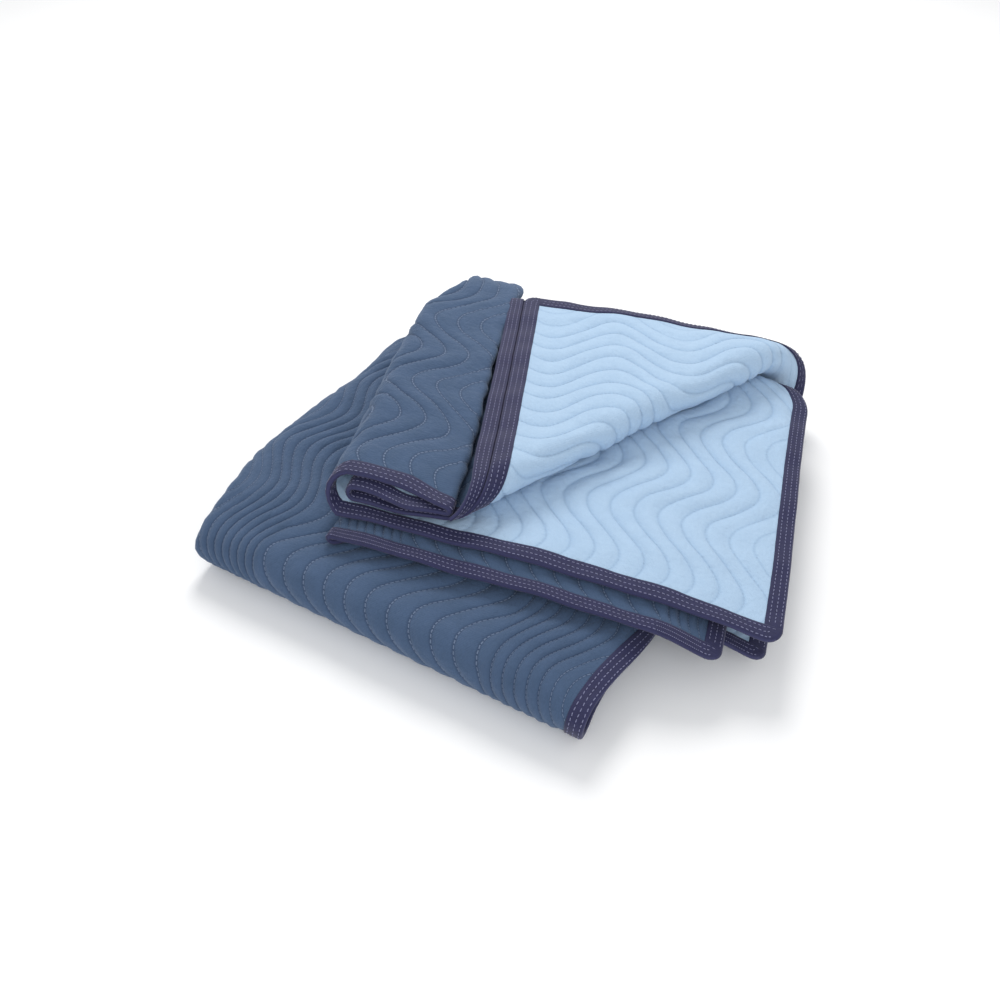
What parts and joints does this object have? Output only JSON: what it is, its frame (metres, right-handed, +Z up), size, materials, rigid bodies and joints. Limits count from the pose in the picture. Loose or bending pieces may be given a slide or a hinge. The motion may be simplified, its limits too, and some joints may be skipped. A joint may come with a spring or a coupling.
{
  "type": "moving blanket",
  "caption": "Quilted two-sided moving blanket folded into a thick pad, one corner turned back, edges bound with stitched tape.",
  "frame": {"origin": "centre of the bounding box, on the floor the folded stack lies on", "axes": "+Z up through the stack, +X along the front roll to the loose right edges, +Y from the front roll to the back fold"},
  "size_m": [0.56, 0.5236, 0.1197],
  "materials": {
    "quilted_cloth": "matt brushed cloth",
    "binding_tape": "matt woven tape"
  },
  "bodies": {
    "root": {"quilt_panel": "quilted_cloth", "binding_front_end": "binding_tape", "binding_back_end": "binding_tape", "binding_left_side": "binding_tape", "binding_right_side": "binding_tape"}
  },
  "joints": []
}
